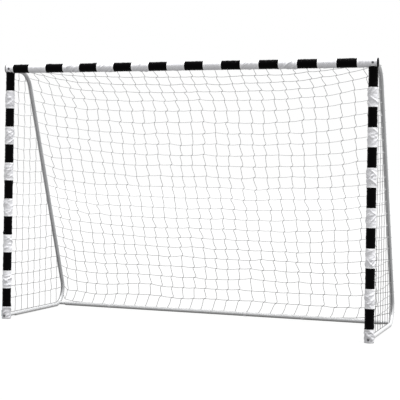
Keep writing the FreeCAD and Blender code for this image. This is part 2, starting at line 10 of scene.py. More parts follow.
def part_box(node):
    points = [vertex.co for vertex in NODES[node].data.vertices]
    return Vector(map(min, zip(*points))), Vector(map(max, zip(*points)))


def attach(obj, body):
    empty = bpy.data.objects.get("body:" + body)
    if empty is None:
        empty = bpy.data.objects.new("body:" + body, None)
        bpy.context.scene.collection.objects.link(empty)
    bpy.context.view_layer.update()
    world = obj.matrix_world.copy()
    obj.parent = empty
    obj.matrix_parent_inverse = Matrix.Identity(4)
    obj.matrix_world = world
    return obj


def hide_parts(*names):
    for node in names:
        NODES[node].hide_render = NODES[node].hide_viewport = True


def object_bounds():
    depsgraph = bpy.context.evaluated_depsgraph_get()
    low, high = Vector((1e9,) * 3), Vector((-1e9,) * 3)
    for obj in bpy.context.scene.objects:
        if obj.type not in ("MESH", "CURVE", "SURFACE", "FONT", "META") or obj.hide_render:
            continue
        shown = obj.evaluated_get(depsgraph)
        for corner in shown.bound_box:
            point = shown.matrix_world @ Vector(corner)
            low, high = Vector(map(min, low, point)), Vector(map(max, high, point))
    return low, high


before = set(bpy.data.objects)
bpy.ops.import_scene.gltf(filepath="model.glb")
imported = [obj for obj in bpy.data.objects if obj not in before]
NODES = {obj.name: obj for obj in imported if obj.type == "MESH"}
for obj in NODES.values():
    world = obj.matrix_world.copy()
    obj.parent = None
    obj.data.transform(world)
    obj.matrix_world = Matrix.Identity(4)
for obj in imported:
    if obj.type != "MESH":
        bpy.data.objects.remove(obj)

CAD_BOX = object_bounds()
rng = np.random.default_rng(7)

# ---------------------------------------------------------------- places read from the frame
def middle_of(node):
    low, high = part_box(node)
    return (low + high) / 2


def half_of(node, axis):
    low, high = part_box(node)
    return (high[axis] - low[axis]) / 2


CROSS_Y = middle_of("crossbar_sleeve").y
CROSS_Z = middle_of("crossbar_sleeve").z
CROSS_END = half_of("crossbar_sleeve", 0)
POST_X = middle_of("post_sleeve_right").x
FOOT_BOLT_Z = middle_of("foot_bolts").z
FRONT_R = half_of("crossbar_left", 1)
SIDE_R = half_of("side_top_bend_right", 0)
BAR_Y = middle_of("rear_bar_middle").y
BAR_Z = middle_of("rear_bar_middle").z
REAR_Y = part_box("side_bottom_bend_right")[1].y - SIDE_R
SLEEVE_R = half_of("crossbar_sleeve", 1)
HALF_SPAN = CAD_BOX[1][0]
CLOTH = 0.0010  # thickness of the sleeves' cloth
# the side tubes: radius of the top and bottom bends, and the straight before the top one
TOP_RAD, LOW_RAD, TOP_RUN = 0.200, 0.140, 0.166


# ---------------------------------------------------------------- meshes
def new_object(name, verts, faces, materials, indices=None, smooth=True, uvs=None):
    mesh = bpy.data.meshes.new(name)
    mesh.from_pydata([tuple(v) for v in verts], [], [tuple(f) for f in faces])
    mesh.validate(clean_customdata=False)
    for m in materials:
        mesh.materials.append(m)
    if indices is not None:
        mesh.polygons.foreach_set("material_index", np.asarray(indices, np.int32))
    if smooth:
        mesh.polygons.foreach_set("use_smooth", np.ones(len(mesh.polygons), bool))
    if uvs is not None:
        layer = mesh.uv_layers.new(name="UVMap")
        corner = np.empty(len(mesh.loops), np.int32)
        mesh.loops.foreach_get("vertex_index", corner)
        layer.data.foreach_set("uv", np.asarray(uvs, np.float32)[corner].ravel())
    mesh.update()
    thing = bpy.data.objects.new(name, mesh)
    bpy.context.collection.objects.link(thing)
    return thing


def grid_faces(rows, cols, start=0, closed=True, flip=False):
    """Quads over a grid of rows x cols points, joined round if closed."""
    r = np.arange(rows - 1)[:, None]
    c = np.arange(cols if closed else cols - 1)[None, :]
    d = (c + 1) % cols
    quads = np.stack([r * cols + c, r * cols + d, (r + 1) * cols + d, (r + 1) * cols + c], -1)
    quads = quads.reshape(-1, 4) + start
    return quads[:, ::-1] if flip else quads


# ---------------------------------------------------------------- materials
def material(name):
    m = bpy.data.materials.new(name)
    m.use_nodes = True
    return m, m.node_tree.nodes, m.node_tree.links, m.node_tree.nodes["Principled BSDF"]


def noise_node(nodes, links, coord, scale, detail=4.0, rough=0.5):
    n = nodes.new("ShaderNodeTexNoise")
    n.inputs["Scale"].default_value = scale
    n.inputs["Detail"].default_value = detail
    n.inputs["Roughness"].default_value = rough
    links.new(coord, n.inputs["Vector"])
    return n.outputs["Fac"]


def ramp_node(nodes, links, fac, stops):
    r = nodes.new("ShaderNodeValToRGB")
    while len(r.color_ramp.elements) < len(stops):
        r.color_ramp.elements.new(0.5)
    for e, (at, c) in zip(r.color_ramp.elements, stops):
        e.position = at
        e.color = (*c, 1.0) if hasattr(c, "__len__") else (c, c, c, 1.0)
    links.new(fac, r.inputs["Fac"])
    return r.outputs["Color"]


def math_node(nodes, links, kind, a, b=None, c=None):
    m = nodes.new("ShaderNodeMath")
    m.operation = kind
    for socket, v in zip(m.inputs, (a, b, c)):
        if v is None:
            continue
        if isinstance(v, (int, float)):
            socket.default_value = v
        else:
            links.new(v, socket)
    return m.outputs[0]


def times(nodes, links, a, b):
    return math_node(nodes, links, "MULTIPLY", a, b)


def mix_node(nodes, links, fac, a, b, blend="MIX"):
    m = nodes.new("ShaderNodeMix")
    m.data_type = "RGBA"
    m.blend_type = blend
    for socket, v in ((m.inputs["Factor"], fac), (m.inputs["A"], a), (m.inputs["B"], b)):
        if isinstance(v, (int, float)):
            socket.default_value = v if socket.type == "VALUE" else (v, v, v, 1.0)
        elif isinstance(v, tuple):
            socket.default_value = (*v, 1.0)
        else:
            links.new(v, socket)
    return m.outputs["Result"]


def darken(nodes, links, tone, by):
    return mix_node(nodes, links, 1.0, tone, by, "MULTIPLY")


def bump_node(nodes, links, height, strength, distance, normal=None):
    b = nodes.new("ShaderNodeBump")
    b.inputs["Strength"].default_value = strength
    b.inputs["Distance"].default_value = distance
    links.new(height, b.inputs["Height"])
    if normal is not None:
        links.new(normal, b.inputs["Normal"])
    return b.outputs["Normal"]


def object_coord(nodes):
    return nodes.new("ShaderNodeTexCoord").outputs["Object"]


def split_xyz(nodes, links, vector):
    split = nodes.new("ShaderNodeSeparateXYZ")
    links.new(vector, split.inputs[0])
    return split.outputs


def facing_down(nodes, links):
    """1 where the surface faces the ground, 0 or less where it is upright or faces up."""
    normal = split_xyz(nodes, links, nodes.new("ShaderNodeTexCoord").outputs["Normal"])
    return times(nodes, links, normal["Z"], -1.0)


def height_above_ground(nodes, links):
    return split_xyz(nodes, links, object_coord(nodes))["Z"]


def scaled(colour, k):
    return tuple(c * k for c in colour)


DUST = (0.35, 0.34, 0.32)
SCUFFS = 0.12  # how strongly the scuffs show
# colour of the painted shade on the frame's undersides near the ground
UNDER_SHADE = (0.035, 0.034, 0.030)
UNDER_SHADE_FULL, UNDER_SHADE_GONE = 0.05, 0.16  # heights between which the painted shade fades out


def powder_coat(name, colour, dirt, low_shade=0.0):
    """White powder coat: fine orange peel, uneven gloss, faint dust and small scuffs.
    low_shade is how far the undersides near the ground are darkened by painted shade."""
    m, nodes, links, bsdf = material(name)
    coord = object_coord(nodes)
    peel = noise_node(nodes, links, coord, 900.0, 2.0)
    cloud = noise_node(nodes, links, coord, 6.0, 5.0, 0.6)
    speck = noise_node(nodes, links, coord, 140.0, 6.0, 0.7)
    tone = ramp_node(nodes, links, cloud, [(0.3, scaled(colour, 1 - dirt)), (0.75, colour)])
    scuff = ramp_node(nodes, links, speck, [(0.0, 0.0), (0.66, 0.0), (0.74, 1.0)])
    tone = mix_node(nodes, links, times(nodes, links, scuff, SCUFFS), tone, DUST)
    # painted shade: undersides near the ground are darkened, unevenly
    if low_shade:
        uneven = times(nodes, links, math_node(nodes, links, "SUBTRACT", cloud, 0.5), 0.3)
        under = math_node(nodes, links, "ADD", facing_down(nodes, links), uneven)
        under = ramp_node(nodes, links, under, [(0.05, 0.0), (0.60, 1.0)])
        height = height_above_ground(nodes, links)
        low = ramp_node(nodes, links, height, [(UNDER_SHADE_FULL, 1.0), (UNDER_SHADE_GONE, 0.0)])
        amount = times(nodes, links, times(nodes, links, under, low), low_shade)
        tone = mix_node(nodes, links, amount, tone, UNDER_SHADE)
    links.new(tone, bsdf.inputs["Base Color"])
    links.new(ramp_node(nodes, links, cloud, [(0.2, 0.46), (0.8, 0.32)]), bsdf.inputs["Roughness"])
    links.new(bump_node(nodes, links, peel, 0.25, 0.0004), bsdf.inputs["Normal"])
    bsdf.inputs["Coat Weight"].default_value = 0.15
    bsdf.inputs["Coat Roughness"].default_value = 0.25
    return m


def plain_plastic(name, colour, rough, gloss):
    """Moulded plastic: faint mottling, uneven gloss and a fine grained skin."""
    m, nodes, links, bsdf = material(name)
    coord = object_coord(nodes)
    grain = noise_node(nodes, links, coord, 1400.0, 3.0)
    cloud = noise_node(nodes, links, coord, 30.0, 4.0)
    tone = ramp_node(nodes, links, cloud, [(0.3, colour), (0.8, scaled(colour, 1.6))])
    dullness = ramp_node(nodes, links, cloud, [(0.2, rough - 0.08), (0.8, rough + 0.08)])
    links.new(tone, bsdf.inputs["Base Color"])
    links.new(dullness, bsdf.inputs["Roughness"])
    links.new(bump_node(nodes, links, grain, 0.35, 0.0003), bsdf.inputs["Normal"])
    bsdf.inputs["Specular IOR Level"].default_value = gloss
    return m


def plated_steel(name, colour, rough):
    """Zinc-plated steel: a fine spangle and slightly dull patches."""
    m, nodes, links, bsdf = material(name)
    coord = object_coord(nodes)
    spangle = noise_node(nodes, links, coord, 420.0, 3.0)
    cloud = noise_node(nodes, links, coord, 60.0, 4.0)
    tone = ramp_node(nodes, links, cloud, [(0.25, scaled(colour, 0.72)), (0.75, colour)])
    dullness = ramp_node(nodes, links, spangle, [(0.2, rough), (0.8, rough + 0.22)])
    links.new(tone, bsdf.inputs["Base Color"])
    links.new(dullness, bsdf.inputs["Roughness"])
    links.new(bump_node(nodes, links, spangle, 0.2, 0.0002), bsdf.inputs["Normal"])
    bsdf.inputs["Metallic"].default_value = 0.9
    return m


FOOT_FULL, FOOT_GONE = 0.086, 0.110  # heights between which the painted shade on the sleeves' foot fades out


def woven(name, colour, deep, rough, gloss=0.3, thread=0.0011, under=1.0, foot=1.0):
    """Woven sleeve cloth: two crossed sets of threads on the sleeve's own flat coordinates, in metres.
    under and foot are its tone on its underside and near the ground, against the rest: painted shade."""
    m, nodes, links, bsdf = material(name)
    uv = split_xyz(nodes, links, nodes.new("ShaderNodeTexCoord").outputs["UV"])
    waves = []
    for axis in ("X", "Y"):
        waves.append(math_node(nodes, links, "SINE", times(nodes, links, uv[axis], 2 * math.pi / thread)))
    weave = times(nodes, links, waves[0], waves[1])
    coord = object_coord(nodes)
    cloud = noise_node(nodes, links, coord, 9.0, 5.0, 0.6)
    slub = noise_node(nodes, links, coord, 240.0, 3.0)
    tone = ramp_node(nodes, links, cloud, [(0.3, deep), (0.7, colour)])
    tone = darken(nodes, links, tone, math_node(nodes, links, "MULTIPLY_ADD", weave, 0.05, 0.95))
    # painted shade: darker where the cloth faces down, and near the ground
    if under < 1:
        shade = ramp_node(nodes, links, facing_down(nodes, links), [(0.30, 1.0), (0.85, under)])
        tone = darken(nodes, links, tone, shade)
    if foot < 1:
        height = height_above_ground(nodes, links)
        shade = ramp_node(nodes, links, height, [(FOOT_FULL, foot), (FOOT_GONE, 1.0)])
        tone = darken(nodes, links, tone, shade)
    dullness = ramp_node(nodes, links, slub, [(0.3, rough - 0.06), (0.7, rough + 0.06)])
    threads = math_node(nodes, links, "ADD", weave, times(nodes, links, slub, 0.6))
    links.new(tone, bsdf.inputs["Base Color"])
    links.new(dullness, bsdf.inputs["Roughness"])
    links.new(bump_node(nodes, links, threads, 0.35, 0.00025), bsdf.inputs["Normal"])
    bsdf.inputs["Specular IOR Level"].default_value = gloss
    return m


STRANDS, STRAND_TURN = 3, 0.009  # strands in a cord, and the length in which they wind once round
CORD_SHADE_FULL, CORD_SHADE_GONE = 0.45, 1.0  # heights between which the painted shade on the cords fades out


def cord_material(name, colour, deep):
    """Twisted polyethylene cord: strands winding along it, loose fibres, uneven tone, and painted shade
    that makes it darker low down.
    """
    m, nodes, links, bsdf = material(name)
    uv = split_xyz(nodes, links, nodes.new("ShaderNodeTexCoord").outputs["UV"])
    around = times(nodes, links, uv["X"], 2 * math.pi * STRANDS)
    along = times(nodes, links, uv["Y"], 2 * math.pi / STRAND_TURN)
    lay = math_node(nodes, links, "SINE", math_node(nodes, links, "ADD", around, along))
    coord = object_coord(nodes)
    cloud = noise_node(nodes, links, coord, 14.0, 4.0, 0.6)
    fibre = noise_node(nodes, links, coord, 1500.0, 3.0)
    tone = ramp_node(nodes, links, cloud, [(0.25, deep), (0.75, colour)])
    # painted shade: the cords are darkened low down
    height = height_above_ground(nodes, links)
    shade = ramp_node(nodes, links, height, [(CORD_SHADE_FULL, 0.25), (CORD_SHADE_GONE, 1.0)])
    tone = darken(nodes, links, tone, shade)
    tone = darken(nodes, links, tone, math_node(nodes, links, "MULTIPLY_ADD", lay, 0.12, 0.88))
    relief = math_node(nodes, links, "ADD", lay, times(nodes, links, fibre, 0.5))
    links.new(tone, bsdf.inputs["Base Color"])
    links.new(bump_node(nodes, links, relief, 0.5, 0.0005), bsdf.inputs["Normal"])
    bsdf.inputs["Roughness"].default_value = 0.62
    bsdf.inputs["Sheen Weight"].default_value = 0.2
    return m


front_white = powder_coat("front_white_coat", (0.60, 0.60, 0.60), 0.04)
# the side tubes' white coat is made much darker than the front frame's: painted shade
shaded_side_white = powder_coat("side_white_coat", (0.27, 0.272, 0.276), 0.08, 0.75)
black_plastic = plain_plastic("black_plastic", (0.003, 0.003, 0.0032), 0.42, 0.001)
bolt_metal = plated_steel("bolt_zinc", (0.10, 0.10, 0.105), 0.34)
plug_metal = plated_steel("plug_zinc", (0.40, 0.40, 0.41), 0.40)
# painted shade on the sleeves: the share of their colour kept on their undersides and at their feet
SLEEVE_SHADE = {"under": 0.72, "foot": 0.80}
white_cloth = woven("white_sleeve_cloth", (0.47, 0.47, 0.485), (0.43, 0.43, 0.445), 0.55, **SLEEVE_SHADE)
hem_cloth = woven("white_hem_cloth", (0.53, 0.53, 0.54), (0.49, 0.49, 0.50), 0.5, **SLEEVE_SHADE)
black_cloth = woven("black_sleeve_cloth", (0.0010, 0.0008, 0.0010), (0.0006, 0.0005, 0.0006), 0.27, 0.022)
net_cord = cord_material("net_cord", (0.21, 0.212, 0.216), (0.15, 0.152, 0.156))
webbing = woven("strap_webbing", (0.34, 0.34, 0.345), (0.28, 0.28, 0.285), 0.65, thread=0.0016)

for name, coat in (
    *((n, front_white) for n in NODES if n.startswith(("crossbar_", "post_", "corner_spigot"))),
    *((n, shaded_side_white) for n in NODES if n.startswith(("side_", "rear_bar", "rear_stub"))),
    *((n, black_plastic) for n in NODES if "_cap_" in n),
    *((n, bolt_metal) for n in ("corner_bolts", "foot_bolts", "bolt_washers")),
    *((n, plug_metal) for n in ("top_thread_plugs", "foot_thread_plugs")),
):
    slots = NODES[name].data.materials
    slots.clear()
    slots.append(coat)

# ---------------------------------------------------------------- sleeves
BLACK, WHITE = 0.150, 0.1424  # lengths of the crossbar's bands
POST_BLACK, POST_WHITE = 0.148, 0.1420  # the posts' sleeves are pushed together a little
CROSS_BLACKS, POST_BLACKS = 10, 7
CROSS_FIRST = 0.0693  # from the goal's left end to the crossbar's first black band
HEM_FOOT = 0.0012  # height of the posts' sleeves' lower ends, over the foot caps
SADDLE_UP = 0.0055  # how far the posts' sleeves rise past the crossbar's underside
POST_TOP = CROSS_Z - SLEEVE_R + SADDLE_UP
TUCK = 0.015  # cloth turned in under the crossbar
HEM = 0.011  # length of the hem in the white cloth beside a black band
AROUND = 72  # points round a sleeve
STEP = 0.005  # length between its rings of points
PLAIN, HEMMED, DARK = 0, 1, 2  # the order of the three cloths in a sleeve's materials

RIPPLES, RIPPLE_HIGH, RIPPLE_SHARE = 26, 0.00016, 0.8
CREASE_LOW, CREASE_HIGH = -0.003, 0.0060  # limits for the creases
EDGE_WIDE, EDGE_HOLD = 0.004, 0.45  # a band's stitched edge holds the creases down
HEM_HIGH = 0.0005
SEAM_ANGLE, SEAM_HIGH, SEAM_WIDE = math.pi, 0.0009, 0.10
INSET = 0.0002  # the smooth cloth lies this far inside the CAD sleeve's outside
PRESSED = 0.0001  # how far the cloth stands out under a washer or a tube's end
END_WIDE = 0.006  # length over which a sleeve's end takes its own radius
LEAST_GAP = 0.0002  # between a tube and the inside of its sleeve


def turned(angle, face):
    """How far angle is from face, between minus and plus half a turn."""
    return (angle - face + math.pi) % (2 * math.pi) - math.pi


def bell(off, wide):
    return np.exp(-((off / wide) ** 2))


def band_plan(start, first, blacks, end, black=BLACK, white=WHITE, late=0.0, early=0.0):
    """(from, to, cloth) along a sleeve: white up to first, then black and white in turn, with hems.
    The first black starts late and ends early by those lengths."""
    edges = [[first + k * (black + white), first + k * (black + white) + black] for k in range(blacks)]
    edges[0] = [edges[0][0] + late, edges[0][1] - early]
    out = []
    at = start
    for a, b in edges + [[end, None]]:
        lead = HEM if at > start else 0.0
        tail = HEM if a < end else 0.0
        if lead:
            out.append((at, at + lead, HEMMED))
        out.append((at + lead, a - tail, PLAIN))
        if tail:
            out.append((a - tail, a, HEMMED))
        if b is not None:
            out.append((a, b, DARK))
            at = b
    return out


class Creases:
    """Folds in a sleeve: each is a short ridge that runs part of the way round, at a slant."""

    def __init__(self, seed):
        self.r = random.Random(seed)
        self.folds = []

    def add(self, a, b, count, slant, high, wide):
        for _ in range(count):
            self.folds.append((
                self.r.uniform(a, b), self.r.uniform(0, 2 * math.pi), self.r.uniform(0.5, 1.5),
                slant * self.r.uniform(0.4, 1.5), high * self.r.uniform(0.45, 1.0),
                wide * self.r.uniform(0.7, 1.4)))

    def height(self, t, angle):
        out = np.zeros(np.broadcast(t, angle).shape)
        for at, turn, reach, slant, high, wide in self.folds:
            d = turned(angle, turn)
            off = (t - at - slant * d) / wide
            out += high * np.exp(-off * off) * np.exp(-((d / reach) ** 4))
        return out


def ripples(t, angle):
    """Fine uneven waves all over the cloth."""
    out = np.zeros(np.broadcast(t, angle).shape)
    for _ in range(RIPPLES):
        out += RIPPLE_HIGH * np.sin(
            t * rng.uniform(60, 420) + angle * int(rng.integers(-3, 4)) + rng.uniform(0, 6.28))
    return out


def sleeve_rise(t, angle, spans, creases):
    """How far the cloth stands out: creases, ripples, hems and the seam."""
    rise = np.clip(creases.height(t, angle), CREASE_LOW, CREASE_HIGH)
    edge, hem = np.zeros_like(t), np.zeros_like(t)
    for a, b, cloth in spans:
        for at in (a, b):
            edge = np.maximum(edge, bell(t - at, EDGE_WIDE))
        if cloth == HEMMED:
            hem += HEM_HIGH * ((t >= a - 1e-6) & (t <= b + 1e-6))
    seam = SEAM_HIGH * bell(turned(angle, SEAM_ANGLE), SEAM_WIDE)
    return rise * (1 - EDGE_HOLD * edge) + ripples(t, angle) * RIPPLE_SHARE + hem + seam - INSET


def sleeve(name, spans, creases, to_world, pressed, ends, top_edge=None, extra=None):
    """A thin two-layer cloth tube. t runs along it and angle round it; to_world places a point.
    pressed lists places (t, angle, reach) held flat, and ends says how far its two ends stand off."""
    stations, kinds = [spans[0][0]], []
    for a, b, cloth in spans:
        count = max(1, round((b - a) / STEP))
        for k in range(count):
            stations.append(a + (b - a) * (k + 1) / count)
            kinds.append(cloth)
    t = np.array(stations)[:, None]
    angle = np.linspace(0, 2 * math.pi, AROUND, endpoint=False)[None, :]
    rise = sleeve_rise(t, angle, spans, creases)
    if extra is not None:
        rise = rise + extra(t, angle)
    for at, face, reach in pressed:
        d = turned(angle, face)
        near = np.exp(-(((t - at) / reach) ** 2 + (d * FRONT_R / reach) ** 2) ** 2)
        rise = rise * (1 - near) + PRESSED * near
    for k, off in zip((0, -1), ends):
        if off is not None:
            away = bell(t - stations[k], END_WIDE)
            rise = rise * (1 - away) + off * away
    outer = np.maximum(SLEEVE_R + rise, FRONT_R + CLOTH + LEAST_GAP)
    layers = []
    for rad in (outer, outer - CLOTH):
        along = np.broadcast_to(t, rad.shape).copy()
        if top_edge is not None:
            along, rad = top_edge(along, angle, rad)
        layers.append(to_world(along, angle, rad).reshape(-1, 3))
    rows = len(stations)
    size = rows * AROUND
    faces = [grid_faces(rows, AROUND), grid_faces(rows, AROUND, size, flip=True)]
    ring = np.arange(AROUND)
    nxt = (ring + 1) % AROUND
    last = (rows - 1) * AROUND
    faces.append(np.stack([ring, ring + size, nxt + size, nxt], 1))
    faces.append(np.stack([last + ring, last + nxt, last + nxt + size, last + ring + size], 1))
    per_face = np.repeat(kinds, AROUND)
    rim_faces = np.concatenate([np.full(AROUND, kinds[0]), np.full(AROUND, kinds[-1])])
    indices = np.concatenate([per_face, per_face, rim_faces])
    flat = np.stack(np.broadcast_arrays(angle * FRONT_R, t), -1).reshape(-1, 2)
    cloths = [white_cloth, hem_cloth, black_cloth]
    uvs = np.concatenate([flat] * 2)
    return new_object(name, np.concatenate(layers), np.concatenate(faces), cloths, indices, uvs=uvs)


# the crossbar's white stretches with deep slanted creases, counted from 0 at the left, and a place
# near its right end with a few more
BUNCHED = (2, 3, 4, 7, 8)
RIGHT_BUNCH = (1.37, 1.46)


def crossbar_creases(spans):
    creases = Creases(11)
    whites = 0
    for a, b, cloth in spans:
        if cloth == PLAIN:
            if whites in BUNCHED:
                creases.add(a + 0.01, b - 0.01, 9, 0.040, 0.0060, 0.006)
            else:
                creases.add(a + 0.01, b - 0.01, 5, 0.012, 0.0024, 0.009)
            whites += 1
        elif cloth == DARK:
            creases.add(a, b, 3, 0.02, 0.0016, 0.012)
    creases.add(*RIGHT_BUNCH, 6, 0.02, 0.004, 0.006)
    return creases


def crossbar_sleeve_cloth():
    """t is world x, angle 0 faces front (-Y), a quarter turn is up."""
    def place(t, angle, rad):
        return np.stack([t, CROSS_Y - rad * np.cos(angle), CROSS_Z + rad * np.sin(angle)], -1)

    spans = band_plan(
        -CROSS_END, -HALF_SPAN + CROSS_FIRST, CROSS_BLACKS, CROSS_END, late=0.002, early=0.010)
    bolts = [(-POST_X, 0.0, 0.011), (POST_X, 0.0, 0.011)]
    return sleeve(
        "crossbar_sleeve_cloth", spans, crossbar_creases(spans), place, bolts, ends=(0.0004, 0.0004))


def post_spans():
    """White foot, then seven black bands with white between, and a black edge turned in on top."""
    first = POST_TOP - POST_BLACK - (POST_BLACKS - 1) * (POST_BLACK + POST_WHITE)
    plan = band_plan(HEM_FOOT, first, POST_BLACKS, POST_TOP + TUCK, POST_BLACK, POST_WHITE)
    return [s for s in plan if s[0] < POST_TOP - 1e-6] + [(POST_TOP, POST_TOP + TUCK, DARK)]


def post_creases(spans, seed):
    creases = Creases(seed)
    for a, b, cloth in spans:
        if cloth == PLAIN:
            creases.add(a + 0.006, b - 0.006, 7, 0.010, 0.0042, 0.0055)
            creases.add(a + 0.006, b - 0.006, 5, 0.034, 0.0060, 0.0060)
            creases.add(a + 0.006, b - 0.006, 5, -0.030, 0.0060, 0.0060)
        elif cloth == DARK:
            creases.add(a, b, 5, 0.010, 0.0018, 0.009)
    return creases


SADDLE_DEEP = 0.015  # the cloth below the top edge that stretches to fit under the crossbar
TUCK_NARROW = 0.42  # how much narrower the cloth gets where it is turned in


def under_crossbar(across):
    """Height of the crossbar sleeve's underside, across from its axis."""
    reach = SLEEVE_R + 0.0015
    return CROSS_Z - np.sqrt(reach**2 - np.minimum(np.abs(across), reach) ** 2)


def saddle(along, angle, rad):
    """The upper edge fits under the crossbar: higher in front and behind, then turned in."""
    brim = np.minimum(under_crossbar(rad * np.cos(angle)), POST_TOP)
    base = POST_TOP - SADDLE_DEEP
    f = np.clip((along - base) / (POST_TOP - base), 0, 1)
    g = np.clip((along - POST_TOP) / TUCK, 0, 1)
    rad = rad * (1 - TUCK_NARROW * g)
    height = np.where(f > 0, base + (brim - base) * f, along)
    inner = under_crossbar(rad * np.cos(angle))
    return height + (inner - brim) * g, rad


def post_sleeve(side):
    """t is world z, angle 0 faces front (-Y), a quarter turn is +X."""
    spans = post_spans()
    lowest_black = next(a for a, b, cloth in spans if cloth == DARK)

    def place(t, angle, rad):
        return np.stack([side * POST_X + rad * np.sin(angle), CROSS_Y - rad * np.cos(angle), t], -1)

    def flare(t, angle):
        """The left sleeve stands out on its inner side where its lowest black band begins."""
        if side > 0:
            return np.zeros(np.broadcast(t, angle).shape)
        return 0.006 * bell(t - lowest_black, 0.02) * bell(turned(angle, math.pi / 2), 0.9)

    pressed = [(FOOT_BOLT_Z, 0.0, 0.013), (FOOT_BOLT_Z, math.pi, 0.020)]  # bolt, and ground tube
    return sleeve(
        "post_sleeve_cloth_" + ("right" if side > 0 else "left"), spans, post_creases(spans, 31 + side),
        place, pressed, (0.0014, None), saddle, flare)


crossbar_sleeve = crossbar_sleeve_cloth()
left_sleeve, right_sleeve = post_sleeve(-1), post_sleeve(1)
for cloth, node, length in (
    (crossbar_sleeve, "crossbar_sleeve", 2 * CROSS_END),
    (left_sleeve, "post_sleeve_left", POST_TOP + TUCK - HEM_FOOT),
    (right_sleeve, "post_sleeve_right", POST_TOP + TUCK - HEM_FOOT),
):
    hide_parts(node)
    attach(cloth, "root")


# ---------------------------------------------------------------- net
def unit(v):
    return v / np.linalg.norm(v, axis=-1, keepdims=True)


ALONG_X, ALONG_Y = np.array([1.0, 0.0, 0.0]), np.array([0.0, 1.0, 0.0])
LEVEL_STEPS, BEND_STEPS = 11, 48  # points along the side tube's level start and round each bend


def side_rail():
    """Points (y, z) and outward normals down the side tube's axis, from the crossbar to the ground."""
    top = np.array([CROSS_Y + TOP_RUN, CROSS_Z - TOP_RAD])
    low = np.array([REAR_Y - LOW_RAD, SIDE_R + LOW_RAD])
    way = low - top
    lean = math.atan2(way[1], way[0]) + math.acos((TOP_RAD - LOW_RAD) / np.linalg.norm(way))
    pts, nrm = [], []
    for y in np.linspace(CROSS_Y + SLEEVE_R + 0.001, top[0], LEVEL_STEPS + 1)[:-1]:
        pts.append((y, CROSS_Z))
        nrm.append((0.0, 1.0))
    for centre, rad, a, b in ((top, TOP_RAD, math.pi / 2, lean), (low, LOW_RAD, lean, -math.pi / 2)):
        for q in np.linspace(a, b, BEND_STEPS):
            n = np.array([math.cos(q), math.sin(q)])
            pts.append(centre + n * rad)
            nrm.append(n)
    return np.array(pts, float), np.array(nrm, float)


def lengths(points):
    return np.concatenate([[0], np.cumsum(np.linalg.norm(np.diff(points, axis=0), axis=1))])


RAIL, RAIL_NORMAL = side_rail()
RAIL_S = lengths(RAIL)


def rail_at(s):
    p = np.stack([np.interp(s, RAIL_S, RAIL[:, k]) for k in (0, 1)], -1)
    n = np.stack([np.interp(s, RAIL_S, RAIL_NORMAL[:, k]) for k in (0, 1)], -1)
    return p, unit(n)


CORD_R = 0.0020
CORD_SIDES = 6
NET_R = SIDE_R + CORD_R + 0.0006  # from a side tube's axis to the cords that lie on it
ACROSS, DOWN = 29, 24  # meshes across the back, and down it
PITCH = 0.0965  # the back's mesh, down the side tubes
BACK_END = RAIL_S[-1] - 0.17  # the furthest that the back's cords reach along the side tubes
# how far the middle of the net is drawn to the left: at its foot, and more in its last rows
DRIFT, FOOT_DRIFT, FOOT_ROW, FOOT_ROWS = 0.040, 0.045, 22.6, 1.4
WRAP_END = math.radians(62)  # the back's level cords end this far round the side tubes
SWAY = 0.0066  # how far an upright cord leans to each side between two knots
MESH_STEPS = 12  # stretches in an upright cord from knot to knot
FORE = CROSS_Y + SLEEVE_R + 0.003  # the side panels' front edge, behind the posts' sleeves
SIDE_X = POST_X  # the side panels lie in the side tubes' plane
SIDE_TALL, SIDE_DEEP = 0.0935, 0.110  # the side panels' mesh, up and from front to back
SIDE_FIRST = 0.165  # height of their lowest level cord
SIDE_UPRIGHTS = 10  # at most
GROUND_FORE = 0.025  # height of a ground tube's axis at the post


def through(points, steps):
    """A smooth line through points, with steps stretches between each two."""
    p = np.concatenate([points[:1] * 2 - points[1:2], points, points[-1:] * 2 - points[-2:-1]])
    t = np.arange(steps)[:, None] / steps
    out = []
    for k in range(1, len(p) - 2):
        a, b, c, d = p[k - 1], p[k], p[k + 1], p[k + 2]
        out.append(0.5 * (
            2 * b + (c - a) * t + (2 * a - 5 * b + 4 * c - d) * t**2 + (3 * b - a - 3 * c + d) * t**3))
    out.append(points[-1:])
    return np.concatenate(out)


def middle_curve():
    """The net's line at the middle of the goal, hanging free from the crossbar to the rear bar."""
    guide = [(SLEEVE_R + 0.002, CROSS_Z - 0.016), (0.350, 1.760), (0.420, 1.580), (0.585, 1.130),
             (0.735, 0.790), (0.930, 0.360), (BAR_Y - CROSS_Y + 0.0140, BAR_Z + 0.0145)]
    points = np.array([(CROSS_Y + y, z) for y, z in guide])
    return through(points, 30)


MIDDLE = middle_curve()
MIDDLE_S = lengths(MIDDLE)


def net_point(x, row):
    """A point of the back net, from its place across and its row, a real number from 0 to DOWN.
    Lower down the net takes the shape of its middle nearer to the side tubes."""
    u = row / DOWN
    bulge = 3.4 + 12.0 * u**5
    slack = 1 - np.minimum(np.abs(x) / POST_X, 1.0) ** bulge
    squeeze = u + 0.01 * u * (1 - u)
    mid = np.stack([np.interp(squeeze * MIDDLE_S[-1], MIDDLE_S, MIDDLE[:, k]) for k in (0, 1)], -1)
    p, n = rail_at(np.minimum(row * PITCH, BACK_END))
    edge = p + n * NET_R
    yz = edge + (mid - edge) * slack[..., None]
    drift = -(DRIFT * u + FOOT_DRIFT * np.clip((row - FOOT_ROW) / FOOT_ROWS, 0, 1) ** 1.5) * slack
    return np.concatenate([(x + drift)[..., None], yz], -1)


def smooth_noise(shape, passes):
    g = rng.normal(size=shape)
    for _ in range(passes):
        p = np.pad(g, 1, mode="edge")
        g = (p[1:-1, 1:-1] * 2 + p[:-2, 1:-1] + p[2:, 1:-1] + p[1:-1, :-2] + p[1:-1, 2:]) / 6
    return g / g.std()


